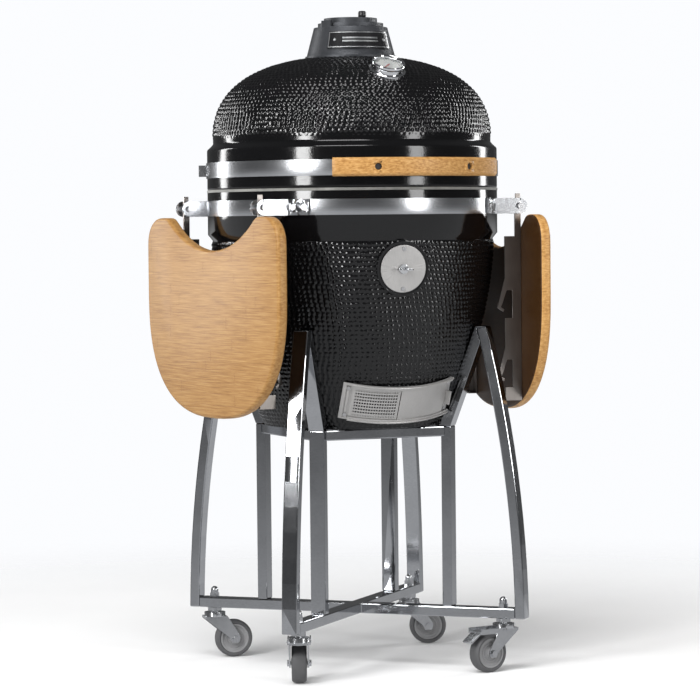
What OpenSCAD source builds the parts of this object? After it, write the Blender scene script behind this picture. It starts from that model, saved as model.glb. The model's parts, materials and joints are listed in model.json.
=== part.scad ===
/* [Ceramic body] */
// Outer radius of the ceramic rims
rim_r = 284; // [270:1:298]
// Height of the joint between bowl and dome
joint_z = 936; // [920:1:950]
// Thickness of the ceramic wall
wall = 24; // [18:1:28]
// Height of the straight rim of the bowl
bowl_rim_h = 82; // [70:1:90]
// Height of the straight rim of the dome
dome_rim_h = 78; // [70:1:85]
// Height of the dome above its straight rim
dome_rise = 180; // [172:1:186]

/* [Bands] */
// Height of both clamping bands
band_h = 30; // [24:1:34]
// Thickness of the band steel
band_t = 2; // [1.5:0.5:3]
// Height of the middle of the lower band
low_band_z = 900; // [896:1:904]
// Height of the middle of the upper band
top_band_z = 974; // [968:1:980]

/* [Handle and vents] */
// Half the angle that the handle covers
handle_half = 33; // [30:0.5:38]
// Turn of the handle from the front
handle_turn = 2.4; // [-3:0.1:3]
// Height of the handle bar
handle_h = 35; // [30:1:40]
// Outer radius of the chimney at its foot
chimney_foot_r = 88; // [84:1:92]
// Outer radius of the chimney at its top
chimney_top_r = 72; // [68:1:76]
// Height of the chimney wall
chimney_h = 61; // [54:1:66]
// Radius of the probe port cover
port_r = 45; // [40:1:48]
// Height of the probe port
port_z = 783; // [775:1:790]
// Turn of the ceramic body in its stand
body_turn = -4; // [-6:0.5:0]
// Height of the middle of the draft door
draft_z = 523; // [518:1:528]
// Length of the draft door up the wall
draft_h = 75; // [70:1:78]
// Lean of the draft door
draft_tilt = 24; // [22:1:26]

/* [Side shelves] */
// Width of each shelf board
shelf_w = 516; // [480:4:520]
// Height of each hanging shelf board
shelf_len = 385; // [360:5:390]
// Thickness of the shelf boards
shelf_t = 22; // [18:1:24]
// Turn of both shelves towards the front
shelf_turn = 7.5; // [5:0.5:10]
// Distance from the grill axis to the shelf pivots
pivot_out = 292; // [290:1:296]
// Half the distance between the two pivots of a shelf
pivot_half = 146; // [140:1:150]
// Height of the shelf pivots
pivot_z = 900; // [896:1:904]

/* [Stand] */
// Width of the steel tube across the leg frames
tube_w = 30; // [25:1:32]
// Depth of the steel tube in the leg frames
tube_d = 20; // [18:1:22]
// Radius of the outer bars at the base
foot_r = 353; // [340:1:360]
// Radius of the outer bars at their tops
apex_r = 279; // [276:1:284]
// Height of the tops of the leg frames
apex_z = 668; // [660:1:676]
// Outer radius of the upright posts
post_r = 205; // [200:1:208]
// Height of the top of the square ring
ring_z = 474; // [470:1:478]

/* [Casters] */
// Height of the casters under the base bars
caster_h = 102; // [100:1:108]
// Radius of the wheels
wheel_r = 37.5; // [35:0.5:38]
// Width of the tyres
tyre_w = 28; // [24:1:29]
// Distance from the swivel axis to the axle
trail = 38; // [34:1:40]
// Radius of the swivel axes about the grill axis
caster_at = 305; // [298:1:312]

/* [Hidden] */

$fn = 96;
gap = 0.3;
slip = 0.05;
touch = 0.1;

// Ceramic profile
gasket_h = 5;
bowl_top_z = joint_z - gasket_h;
dome_low_z = joint_z + gap;
bowl_low_z = ring_z + gap;
step_z = bowl_top_z - bowl_rim_h;
belly_z = step_z - 11;
belly_r = rim_r - 9;
belly_depth = 520;
belly_power = 1.7;
shoulder_z = dome_low_z + dome_rim_h;
crown_z = shoulder_z + 12;
crown_r = rim_r - 12;
crown_power = 2.5;
profile_steps = 16;
neck_r = 60;
crown_top_z = crown_z + (dome_rise - 12) * pow(1 - pow(chimney_foot_r / crown_r, crown_power), 1 / crown_power);
function belly(z) = belly_r * pow(1 - pow((belly_z - z) / belly_depth, belly_power), 1 / belly_power);
function crown(z, less) = (crown_r - less) * pow(1 - pow((z - crown_z) / (dome_rise - 12 - less), crown_power), 1 / crown_power);
floor_in_z = bowl_low_z + wall;

// Handle
handle_r_in = 300;
handle_r_out = 322;
handle_screw_at = 17.5;

// Draft door shell
draft_face_r = 206;
draft_curve_r = 216;
draft_sheet = 1.2;
draft_from = -30;
draft_to = 34;
mesh_from = -25;
mesh_cells_x = 17;
mesh_cells_z = 9;
mesh_hole = 3.4;

// Shelf hardware
rail_t = 3;
rail_w = 34;
rail_top = -59;
rail_len = 320;
board_gap = 6;
strap_half = 7;
tail_half = 5;
tail_up = 24;
pin_r = 3.5;
stop_r = 2.8;
stop_in = 32;
stop_up = 8.1;
clevis_half = 11;
plate_t = 3;
lock_slide = 12;
flange_r = rim_r + band_t + 0.2;
flange_t = 2.5;

// Rear hinge
hinge_y = handle_r_out - 12;
hinge_z = 938;
hinge_pin_r = 5;
hinge_arm_x = 44;
hinge_plate_x = 56;
hinge_plate_t = 5;

// Stand
base_low_z = caster_h;
base_top_z = base_low_z + tube_d;
post_in_r = post_r - tube_d;
base_reach = foot_r - tube_d - 0.5;
bow = 17;
bow_steps = 12;
leg_angles = [45, 135, 225, 315];

// Casters, one stored turn per corner: front left, front right, back left, back right
caster_names = ["fl", "fr", "bl", "br"];
caster_corner = [225, 315, 135, 45];
caster_turn = [66, 190, 352, 340];
fork_half = 19;
fork_t = 2.5;
axle_r = 4;
stem_r = 6;
crown_low_z = 79;
crown_top = 84;

// A wall that follows a circle, from one angle to another, seen from the front face (-Y) towards +X
module arc_wall(r_in, r_out, from, to, low, high) {
    rotate([0, 0, from - 90])
        rotate_extrude(angle = to - from)
            translate([r_in, low])
                square([r_out - r_in, high - low]);
}

// A full ring
module ring(r_in, r_out, low, high) {
    rotate_extrude()
        translate([r_in, low])
            square([r_out - r_in, high - low]);
}

// Turns children from the +X side to an angle about the grill axis
module at_angle(angle) {
    rotate([0, 0, angle]) children();
}

// Turns children drawn along +Y outwards to an angle from the front, positive towards +X
module at_front(angle) {
    rotate([0, 0, angle - 180]) children();
}

module bowl_outline(less) {
    low = bowl_low_z + less;
    polygon(concat(
        [[0, low], [belly(low + 2) - less - 8, low]],
        [for (i = [0 : profile_steps])
            let (z = low + 6 + (belly_z - low - 6) * i / profile_steps)
            [belly(z) - less, z]],
        [[rim_r - less, step_z], [rim_r - less, bowl_top_z + (less > 0 ? 1 : 0)],
         [0, bowl_top_z + (less > 0 ? 1 : 0)]]
    ));
}

module dome_outline(less) {
    top_z = crown_top_z - less;
    polygon(concat(
        [[0, dome_low_z - (less > 0 ? 1 : 0)], [rim_r - less, dome_low_z - (less > 0 ? 1 : 0)],
         [rim_r - less, shoulder_z]],
        [for (i = [0 : profile_steps])
            let (z = crown_z + (top_z - crown_z) * sin(90 * i / profile_steps))
            [crown(z, less), z]],
        [[0, top_z]]
    ));
}

// The leaning frame in which the draft door is a plain cylinder shell
module in_draft() {
    translate([0, -draft_face_r, draft_z])
        rotate([draft_tilt, 0, 0])
            translate([0, draft_curve_r, 0])
                children();
}

module port_frame() {
    at_angle(body_turn) translate([0, -belly(port_z), port_z])
        rotate([90 + port_lean, 0, 0])
            children();
}
port_lean = atan((belly(port_z + 20) - belly(port_z - 20)) / 40);

module bowl() {
    color("#141414")
    difference() {
        union() {
            rotate_extrude() bowl_outline(0);
            in_draft()
                arc_wall(draft_curve_r - 26, draft_curve_r, draft_from + 1, draft_to - 1,
                    -draft_h / 2 + 2, draft_h / 2 - 2);
            port_frame() cylinder(r = port_r + 7, h = 8, center = true);
        }
        rotate_extrude() bowl_outline(wall);
        in_draft()
            arc_wall(draft_curve_r, draft_curve_r + 40, draft_from - 1, draft_to + 1,
                -draft_h / 2 - 1, draft_h / 2 + 1);
        in_draft()
            arc_wall(draft_curve_r - 90, draft_curve_r + 10, -24, 26, -22, 22);
        port_frame() cylinder(r = 9, h = 120, center = true);
        port_frame() translate([0, 0, 4 - 1.5]) ring(port_r + 1, port_r + 4, 0, 5);
        for (side = [-1, 1])
            port_frame() translate([0, side * 38, -10]) cylinder(r = 2, h = 40);
        for (end = [-27, 31], edge = [-1, 1])
            in_draft() at_front(end) translate([0, draft_curve_r - 12, edge * 28])
                rotate([-90, 0, 0]) cylinder(r = 2, h = 14);
    }
}

module dome() {
    color("#141414")
    difference() {
        rotate_extrude() dome_outline(0);
        rotate_extrude() dome_outline(wall);
        translate([0, 0, crown_top_z - wall - 5]) cylinder(r = neck_r, h = wall + 20);
        thermometer_frame() cylinder(r = 6, h = 120, center = true);
    }
}

module rim_gasket() {
    color("#9a9a96") ring(rim_r - wall + 3, rim_r + 1, bowl_top_z, joint_z);
}

// A band round the rim with a lap plate and its clamping bolt at one side
module band(mid_z, bolt_angle) {
    ring(rim_r + 0.05, rim_r + band_t, mid_z - band_h / 2, mid_z + band_h / 2);
    at_angle(bolt_angle)
        for (side = [-1, 1])
            translate([rim_r + band_t - 0.5, side * 9 - 1.5, mid_z - 11])
                cube([15, 3, 22]);
    at_angle(bolt_angle)
        translate([rim_r + band_t + 7, 0, mid_z])
            rotate([90, 0, 0]) {
                cylinder(r = 3, h = 40, center = true);
                cylinder(r = 5.5, h = 32, center = true);
            }
}

module lower_band() {
    color("#b9bbbd")
    difference() {
        band(low_band_z, 60);
        bracket_holes();
    }
}

module upper_band() {
    color("#b9bbbd") band(top_band_z, 158);
}

// Six round vents, closed when the disc's own vents stand half a step away
vent_at = 34;
vent_r = 8.6;
module chimney() {
    foot = crown_top_z;
    color("#2b2b2d")
    difference() {
        union() {
            translate([0, 0, foot]) cylinder(r = chimney_foot_r + 1.5, h = 5);
            translate([0, 0, foot]) cylinder(r1 = chimney_foot_r, r2 = chimney_top_r, h = chimney_h);
            translate([0, 0, foot - wall]) cylinder(r = neck_r - 1, h = wall + 1);
            for (angle = [24, 204])
                at_angle(angle)
                    translate([chimney_top_r - 6, -12, foot + chimney_h - 12])
                        cube([6, 24, 24]);
        }
        translate([0, 0, foot + 4])
            cylinder(r1 = chimney_foot_r - 8, r2 = chimney_top_r - 8, h = chimney_h - 12);
        translate([0, 0, foot - wall - 1]) cylinder(r = neck_r - 8, h = chimney_h);
        translate([0, 0, foot + chimney_h - 9])
            for (angle = [0 : 60 : 300])
                at_angle(angle) translate([vent_at, 0, 0]) cylinder(r = vent_r, h = 20);
        translate([0, 0, foot + chimney_h - 9]) cylinder(r = 3 + slip, h = 20);
    }
}

disc_z = crown_top_z + chimney_h + gap;
disc_turn = 30;
module chimney_disc() {
    color("#303033")
    difference() {
        union() {
            translate([0, 0, disc_z]) cylinder(r = chimney_top_r - 8, h = 8);
            translate([0, 0, disc_z]) cylinder(r = chimney_top_r - 20, h = 18);
            translate([0, 0, disc_z - 8]) cylinder(r = 3, h = 10);
        }
        translate([0, 0, disc_z + 8])
            difference() {
                cylinder(r = chimney_top_r - 26, h = 20);
                cylinder(r = 7, h = 6);
            }
        for (angle = [0 : 60 : 300])
            at_angle(angle + disc_turn) translate([vent_at, 0, disc_z - 1]) cylinder(r = vent_r, h = 20);
    }
}

module disc_knob() {
    color("#1c1c1c")
    translate([25, 0, disc_z + 8 + touch]) {
        cylinder(r = 5, h = 13);
        translate([0, 0, 12]) cylinder(r = 8, h = 14);
    }
}

badge_half = 46;
badge_turn = -10;
module chimney_badge() {
    z = crown_top_z + 17;
    slope = atan((chimney_foot_r - chimney_top_r) / chimney_h);
    color("#101010")
    difference() {
        translate([0, 0, z])
            rotate([0, 0, badge_turn - 90 - badge_half])
                rotate_extrude(angle = 2 * badge_half)
                    translate([chimney_foot_r - 17 * tan(slope) + 0.4, 0])
                        rotate(slope) square([3, 34]);
        translate([0, 0, crown_top_z])
            cylinder(r1 = chimney_foot_r + touch, r2 = chimney_top_r + touch, h = chimney_h);
    }
}

therm_z = 1157;
therm_lean = 29;
therm_r = 31;
module thermometer_frame() {
    at_angle(body_turn) translate([0, -crown(therm_z, 0), therm_z])
        rotate([therm_lean, 0, 0])
            children();
}

module thermometer_case() {
    color("#c9cbce")
    thermometer_frame() {
        difference() {
            union() {
                translate([0, 0, 4]) cylinder(r = therm_r, h = 14);
                translate([0, 0, -36]) cylinder(r = 5.9, h = 44);
                translate([0, 0, -80]) cylinder(r = 2.5, h = 50);
            }
            translate([0, 0, 10]) cylinder(r = therm_r - 3, h = 20);
        }
    }
}

module thermometer_dial() {
    color("white")
    thermometer_frame() translate([0, 0, 10 + touch])
        difference() {
            cylinder(r = therm_r - 3.2, h = 1);
            translate([0, 0, -1]) cylinder(r = 1.5 + slip, h = 4);
        }
}

module thermometer_needle() {
    color("#b02018")
    thermometer_frame() translate([0, 0, 10 + touch]) {
        cylinder(r = 1.5, h = 3);
        rotate([0, 0, 135]) translate([-0.8, -6, 1.5]) cube([1.6, 28, 0.8]);
    }
}

module thermometer_glass() {
    color("lightblue", 0.4)
    thermometer_frame() translate([0, 0, 15]) cylinder(r = therm_r - 3.1, h = 1.8);
}

module handle_bar() {
    low = top_band_z - handle_h / 2;
    corner = 4;
    color("#c89b5c")
    difference() {
        rotate([0, 0, handle_turn - handle_half - 90])
            rotate_extrude(angle = 2 * handle_half)
                polygon([
                    [handle_r_in + corner, low], [handle_r_out - corner, low],
                    [handle_r_out, low + corner], [handle_r_out, low + handle_h - corner],
                    [handle_r_out - corner, low + handle_h], [handle_r_in + corner, low + handle_h],
                    [handle_r_in, low + handle_h - corner], [handle_r_in, low + corner]]);
        for (side = [-1, 1])
            at_front(handle_turn + side * handle_screw_at) translate([0, 0, top_band_z]) rotate([-90, 0, 0]) {
                cylinder(r = 3.5, h = handle_r_out + 5);
                translate([0, 0, handle_r_out - 9]) cylinder(r = 6.5, h = 20);
            }
    }
}

module handle_standoffs() {
    color("#b9bbbd")
    for (side = [-1, 1])
        at_front(handle_turn + side * handle_screw_at) translate([0, rim_r + band_t + 0.3, top_band_z])
            rotate([-90, 0, 0])
                difference() {
                    cylinder(r = 9, h = handle_r_in - rim_r - band_t - 0.6);
                    translate([0, 0, -1]) cylinder(r = 3.2, h = 30);
                }
}

module handle_screws() {
    color("#3a3a3a")
    for (side = [-1, 1])
        at_front(handle_turn + side * handle_screw_at) translate([0, rim_r + band_t + 0.3, top_band_z])
            rotate([-90, 0, 0]) {
                cylinder(r = 3, h = handle_r_out - 9 - rim_r - band_t);
                translate([0, 0, handle_r_out - 9 - rim_r - band_t - 0.2]) cylinder(r = 5.5, h = 4);
            }
}

port_pad = 4 + touch;
module port_cover() {
    color("#d5d6d6")
    port_frame() translate([0, 0, port_pad])
        difference() {
            cylinder(r = port_r, h = 2);
            for (side = [-1, 1])
                translate([0, side * 38, -1]) cylinder(r = 2.2, h = 4);
            translate([0, 0, -1]) cylinder(r = 4 + slip, h = 4);
        }
}

module port_knob() {
    color("#c9cbce")
    port_frame() translate([0, 0, port_pad + 2 + gap]) {
        cylinder(r = 9, h = 4);
        translate([0, 0, -8]) cylinder(r = 4, h = 9);
        for (side = [-1, 1])
            translate([side * 9, 0, 9]) rotate([90, 0, 0])
                difference() {
                    cylinder(r = 8, h = 3, center = true);
                    cylinder(r = 4, h = 5, center = true);
                }
    }
}

module port_screws() {
    color("#8d8f90")
    port_frame()
        for (side = [-1, 1])
            translate([0, side * 38, port_pad - 8]) {
                cylinder(r = 1.9, h = 10);
                translate([0, 0, 10 + touch]) cylinder(r = 4, h = 1.6);
                translate([0, 0, 9.5]) cylinder(r = 1.9, h = 1);
            }
}

// Radii of the draft door's layers, from the ceramic outwards
draft_back = draft_curve_r + touch;
mesh_layer = draft_back + draft_sheet + gap;
slider_layer = mesh_layer + draft_sheet + gap;
draft_lip = slider_layer + draft_sheet + gap;
module draft_frame() {
    half = draft_h / 2;
    color("#a9abad")
    in_draft()
    difference() {
        arc_wall(draft_back, draft_lip + draft_sheet, draft_from, draft_to, -half, half);
        arc_wall(draft_back + draft_sheet, draft_lip, mesh_from - 1, draft_to + 1, -half + 4, half - 4);
        arc_wall(draft_lip - 1, draft_lip + draft_sheet + 1, mesh_from - 1, draft_to + 1, -half + 7, half - 7);
        arc_wall(draft_back + 3, draft_lip + draft_sheet + 1, draft_from - 1, draft_from + 4.5, -half - 1, half + 1);
        arc_wall(draft_back - 2, draft_back + draft_sheet + 1, -23, 25, -half + 14, half - 14);
        for (end = [-27, 31], edge = [-1, 1])
            at_front(end) translate([0, draft_back - 2, edge * 28])
                rotate([-90, 0, 0]) cylinder(r = 2.2, h = 6);
    }
}

mesh_half = draft_h / 2 - 4 - gap;
module draft_mesh() {
    cell = (-mesh_from - 2.5) / mesh_cells_x;
    row = (2 * mesh_half - 9) / mesh_cells_z;
    color("#8f9193")
    in_draft()
    difference() {
        arc_wall(mesh_layer, mesh_layer + draft_sheet, mesh_from, 0, -mesh_half, mesh_half);
        for (i = [0 : mesh_cells_x - 1], j = [0 : mesh_cells_z - 1])
            at_front(mesh_from + 1.3 + cell * (i + 0.5))
                translate([-mesh_hole / 2, mesh_layer - 2, -mesh_half + 4.5 + row * (j + 0.5) - mesh_hole / 2])
                    cube([mesh_hole, 6, mesh_hole]);
    }
}

module draft_slider() {
    color("#a9abad")
    in_draft()
    difference() {
        arc_wall(slider_layer, draft_lip + 10, 0.3, 31, -mesh_half, mesh_half);
        arc_wall(slider_layer + draft_sheet, draft_lip + 12, -1, 30, -draft_h, draft_h);
        for (edge = [14, -14 - draft_h])
            arc_wall(slider_layer - 2, draft_lip + 12, 29, 33, edge, edge + draft_h);
    }
}

module draft_screws() {
    color("#8d8f90")
    in_draft()
        for (end = [-27, 31], edge = [-1, 1])
            at_front(end) translate([0, draft_curve_r - 10, edge * 28])
                rotate([-90, 0, 0]) {
                    cylinder(r = 1.9, h = 10 + (end < 0 ? 4 : 2));
                    translate([0, 0, 10 + (end < 0 ? 3 + 0.3 : draft_sheet + 0.3)])
                        cylinder(r = 3.4, h = 1.6);
                }
}

// Shelf parts are drawn on the +X side and turned or mirrored into place
module shelf_side(side) {
    mirror([side < 0 ? 1 : 0, 0, 0])
        at_angle(-shelf_turn)
            translate([pivot_out, 0, pivot_z])
                children();
}

module flange_bolts(r, from_r, to_r) {
    for (end = [-1, 1], turn = [36, 40.5])
        at_angle(end * turn)
            translate([from_r, 0, pivot_z])
                rotate([0, 90, 0]) cylinder(r = r, h = to_r - from_r);
}

module bracket_holes() {
    for (side = [0, 1])
        mirror([side, 0, 0]) at_angle(-shelf_turn)
            flange_bolts(3, rim_r - 5, rim_r + 8);
}

module brackets() {
    at_angle(-shelf_turn)
    difference() {
        union() {
            for (end = [-1, 1])
                at_angle(end > 0 ? 28 : -42.5) translate([0, 0, pivot_z - band_h / 2])
                    rotate_extrude(angle = 14.5)
                        translate([flange_r, 0]) square([flange_t, band_h]);
            for (end = [-1, 1], face = [-1, 1])
                translate([0, end * pivot_half + face * (clevis_half + plate_t / 2), pivot_z])
                    rotate([90, 0, 0]) {
                        cylinder_plate(end * pivot_half + face * (clevis_half + plate_t / 2));
                    }
        }
        for (end = [-1, 1])
            translate([pivot_out, end * pivot_half, pivot_z])
                rotate([90, 0, 0]) cylinder(r = pin_r + slip, h = 60, center = true);
        flange_bolts(3, rim_r - 5, rim_r + 8);
        translate([0, 0, pivot_z - 30]) cylinder(r = flange_r, h = 60);
    }
    at_angle(-shelf_turn)
        for (end = [-1, 1])
            translate([pivot_out - stop_in, end * pivot_half, pivot_z + stop_up])
                rotate([90, 0, 0]) cylinder(r = stop_r, h = 2 * clevis_half + 2 * plate_t, center = true);
}

// One ear of a clevis: a plate with a round end about the pivot
module cylinder_plate(along) {
    start = sqrt(pow(flange_r, 2) - pow(along, 2)) - 1;
    translate([start, -15, -plate_t / 2]) cube([pivot_out - start, 30, plate_t]);
    translate([pivot_out, 0, 0]) cylinder(r = 15, h = plate_t, center = true);
}

module left_brackets() {
    color("#c4c6c8") mirror([1, 0, 0]) brackets();
}

module right_brackets() {
    color("#c4c6c8") brackets();
}

module bracket_bolts() {
    color("#8d8f90")
    for (side = [0, 1])
        mirror([side, 0, 0]) at_angle(-shelf_turn) {
            flange_bolts(2.9, rim_r + 0.3, flange_r + flange_t + 1);
            flange_bolts(5.5, flange_r + flange_t + 0.2, flange_r + flange_t + 3.6);
        }
}

module pivots() {
    sleeve = clevis_half - rail_t / 2 - 2 * gap;
    for (end = [-1, 1])
        translate([0, end * pivot_half, 0]) rotate([90, 0, 0]) {
            cylinder(r = pin_r, h = 2 * clevis_half + 2 * plate_t + 4, center = true);
            for (face = [-1, 1]) {
                translate([0, 0, face * (rail_t / 2 + gap + sleeve / 2)])
                    cylinder(r = 6.5, h = sleeve, center = true);
                translate([0, 0, face * (clevis_half + plate_t + gap + 2.5)])
                    cylinder(r = 6, h = 5, center = true);
            }
        }
}

module left_pivots() {
    color("#8d8f90") shelf_side(-1) pivots();
}

module right_pivots() {
    color("#8d8f90") shelf_side(1) pivots();
}

// Outline of the board seen from outside: two ears, a wide hollow between them and a broad round foot
board_top = 17;
ear_r = 50;
foot_at = 150;
foot_power = 2.5;
foot_steps = 16;
hollow_r = 265;
hollow_low = 81;
module board_outline() {
    foot_h = shelf_len - foot_at;
    difference() {
        hull() {
            for (side = [-1, 1])
                translate([side * (shelf_w / 2 - ear_r), -ear_r - board_top]) circle(r = ear_r, $fn = 48);
            polygon([for (i = [-foot_steps : foot_steps])
                let (t = 90 * i / foot_steps)
                [sign(i) * shelf_w / 2 * pow(abs(sin(t)), 2 / foot_power),
                    -foot_at - board_top - foot_h * pow(cos(t), 2 / foot_power)]]);
        }
        translate([0, hollow_r - hollow_low]) circle(r = hollow_r);
    }
}

module board() {
    translate([board_gap, 0, 0])
        rotate([90, 0, 90])
            linear_extrude(height = shelf_t)
                board_outline();
}

module left_board() {
    color("#c89b5c") shelf_side(-1) board();
}

module right_board() {
    color("#c89b5c") shelf_side(1) board();
}

// One tool hook: a slanted finger below a notch in the rail
hook_drop = [-120, -255];
module rail_outline() {
    in_edge = board_gap - rail_w - touch;
    out_edge = board_gap - touch;
    difference() {
        union() {
            translate([in_edge, rail_top - rail_len]) square([rail_w, rail_len]);
            translate([-strap_half, rail_top - 10]) square([strap_half + out_edge, -rail_top + 22]);
            translate([-tail_half, 0]) square([2 * tail_half, tail_up]);
            for (z = hook_drop)
                polygon([[in_edge, z - 20], [in_edge - 16, z - 78], [in_edge - 3, z - 86],
                    [in_edge - 1, z - 81], [in_edge - 8, z - 77], [in_edge + 4, z - 46], [in_edge + 8, z - 46]]);
        }
        for (z = hook_drop)
            translate([in_edge - 1, z - 98]) square([rail_w - 18, 54]);
        translate([0, -lock_slide]) circle(r = pin_r + slip);
        circle(r = pin_r + slip);
        translate([-pin_r - slip, -lock_slide]) square([2 * (pin_r + slip), lock_slide]);
    }
    for (z = hook_drop)
        polygon([[in_edge, z - 20], [in_edge - 16, z - 78], [in_edge - 3, z - 86],
            [in_edge - 1, z - 81], [in_edge - 8, z - 77], [in_edge + 4, z - 44], [in_edge + 12, z - 44],
            [in_edge + 12, z - 30]]);
}

rail_flange_w = 24;
rail_flange_t = 3;
rail_foot_w = 18;
module rails() {
    for (end = [-1, 1]) {
        translate([0, end * pivot_half + rail_t / 2, 0])
            rotate([90, 0, 0]) linear_extrude(height = rail_t) rail_outline();
        flange_y = end * pivot_half - (end > 0 ? rail_flange_w : 0);
        translate([board_gap - touch - rail_flange_t, flange_y, rail_top - rail_len])
            cube([rail_flange_t, rail_flange_w, rail_len]);
        translate([board_gap - touch - rail_foot_w, flange_y, rail_top - rail_len])
            cube([rail_foot_w, rail_flange_w, rail_flange_t]);
    }
}

module left_rails() {
    color("#a8a09c") shelf_side(-1) rails();
}

module right_rails() {
    color("#a8a09c") shelf_side(1) rails();
}

// Inner ceramic parts
fire_top_z = 640;
module fire_box() {
    color("#8a6f58")
    difference() {
        translate([0, 0, floor_in_z + touch]) cylinder(r1 = 118, r2 = 192, h = fire_top_z - floor_in_z);
        translate([0, 0, floor_in_z + 50]) cylinder(r1 = 118, r2 = 205, h = fire_top_z - floor_in_z);
        translate([0, 0, floor_in_z + 14]) cylinder(r = 100, h = 60);
        translate([-70, -260, floor_in_z + 14]) cube([140, 240, 60]);
    }
}

module fire_ring() {
    z = fire_top_z + 2 * touch;
    color("#8a6f58")
    difference() {
        translate([0, 0, z]) cylinder(r1 = 192, r2 = 222, h = 205);
        translate([0, 0, z - 1]) cylinder(r1 = 177, r2 = 207, h = 207);
    }
}

module charcoal_grate() {
    color("#333333")
    translate([0, 0, floor_in_z + 50 + 2 * touch])
    difference() {
        cylinder(r = 110, h = 9);
        for (ring_at = [38, 78])
            for (angle = [0 : 360 / (ring_at / 7) : 359])
                at_angle(angle) translate([ring_at, 0, -1]) cylinder(r = 9, h = 12);
        translate([0, 0, -1]) cylinder(r = 9, h = 12);
    }
}

grate_z = fire_top_z + 205 + 3 + 3 * touch;
grate_r = 232;
module cooking_grate() {
    color("#b0b2b4")
    translate([0, 0, grate_z]) {
        difference() {
            ring(grate_r - 4, grate_r + 4, -4, 4);
        }
        for (i = [-11 : 11])
            let (half = sqrt(pow(grate_r - 2, 2) - pow(i * 19, 2)))
            translate([i * 19, 0, 0]) rotate([90, 0, 0]) cylinder(r = 3, h = 2 * half, center = true);
    }
}

// Rear hinge: fixed plates on the lower band, arms on the upper band, one long pin
module hinge_plate(x, mid_z, thick) {
    start = sqrt(pow(flange_r, 2) - pow(abs(x) + thick, 2)) - 1;
    toward = sign(mid_z - hinge_z);
    translate([x - thick / 2, 0, 0])
        rotate([90, 0, 90]) linear_extrude(height = thick)
            polygon([[start, mid_z - 14 * toward], [start, mid_z + 14 * toward], [flange_r + 10, mid_z + 14 * toward],
                [hinge_y + 9, hinge_z + 5 * toward], [hinge_y - 3, hinge_z - 8 * toward],
                [flange_r + 6, mid_z - 14 * toward]]);
    translate([x, hinge_y, hinge_z]) rotate([0, 90, 0]) cylinder(r = 12, h = thick, center = true);
}

module hinge_flange(mid_z, half) {
    rotate([0, 0, 90 - half])
        rotate_extrude(angle = 2 * half)
            translate([flange_r, mid_z - 14]) square([3, 28]);
}

module hinge_bracket() {
    color("#9fa1a3")
    difference() {
        union() {
            hinge_flange(low_band_z, 14);
            for (side = [-1, 1])
                hinge_plate(side * hinge_plate_x, low_band_z, hinge_plate_t);
        }
        cylinder(r = flange_r, h = 1200);
        translate([0, hinge_y, hinge_z]) rotate([0, 90, 0]) cylinder(r = hinge_pin_r + slip, h = 200, center = true);
    }
}

module hinge_arms() {
    color("#9fa1a3")
    difference() {
        union() {
            hinge_flange(top_band_z, 14);
            for (side = [-1, 1])
                hinge_plate(side * hinge_arm_x, top_band_z, hinge_plate_t);
        }
        cylinder(r = flange_r, h = 1200);
        translate([0, hinge_y, hinge_z]) rotate([0, 90, 0]) cylinder(r = hinge_pin_r + slip, h = 200, center = true);
    }
}

module hinge_pin() {
    color("#c9cbce")
    translate([0, hinge_y, hinge_z]) rotate([0, 90, 0]) {
        cylinder(r = hinge_pin_r, h = 2 * hinge_plate_x + 20, center = true);
        for (side = [-1, 1])
            translate([0, 0, side * (hinge_plate_x + 8)]) cylinder(r = 8, h = 5, center = true);
    }
}

module hinge_springs() {
    coils = 12;
    wire = 1.4;
    color("#5c5e60")
    for (side = [-1, 1])
        translate([side * 20, hinge_y, hinge_z]) rotate([0, 90, 0])
            rotate_extrude()
                for (i = [0 : coils - 1])
                    translate([8, (i - (coils - 1) / 2) * 2.6]) circle(r = wire, $fn = 16);
}

// Outline of a bowed outer bar in the plane of its leg frame
bow_chord = norm([foot_r - apex_r, apex_z - base_low_z]);
function bowed(i, less) =
    let (t = i / bow_steps, u = (apex_z - base_low_z) / bow_chord, v = (foot_r - apex_r) / bow_chord)
    let (lift = bow * 4 * t * (1 - t) - less)
    [foot_r - (foot_r - apex_r) * t + lift * u, base_low_z + (apex_z - base_low_z) * t + lift * v];

module leg_slab(points) {
    rotate([90, 0, 0])
        translate([0, 0, -tube_w / 2])
            linear_extrude(height = tube_w)
                polygon(points);
}

module outer_bars() {
    color("#c9cbce")
    for (angle = leg_angles)
        at_angle(angle)
            intersection() {
                leg_slab(concat([for (i = [0 : bow_steps]) bowed(i, 0)],
                    [for (i = [bow_steps : -1 : 0]) bowed(i, tube_d)]));
                translate([0, -50, base_low_z]) cube([500, 100, apex_z - base_low_z]);
            }
}

cradle_low_r = post_in_r - 2;
cradle_top_r = apex_r - 21;
module cradle_bars() {
    color("#c9cbce")
    for (angle = leg_angles)
        at_angle(angle)
            difference() {
                leg_slab([[cradle_low_r, ring_z + touch], [cradle_low_r + 22, ring_z + touch],
                    [cradle_top_r + 21, apex_z], [cradle_top_r, apex_z]]);
                leg_slab(concat([for (i = [0 : bow_steps]) bowed(i, -60)],
                    [for (i = [bow_steps : -1 : 0]) bowed(i, tube_d + touch)]));
            }
}

module posts() {
    color("#c9cbce")
    for (angle = leg_angles)
        at_angle(angle)
            translate([post_in_r, -tube_w / 2, base_top_z + touch])
                cube([tube_d, tube_w, ring_z - base_top_z - touch]);
}

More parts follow.
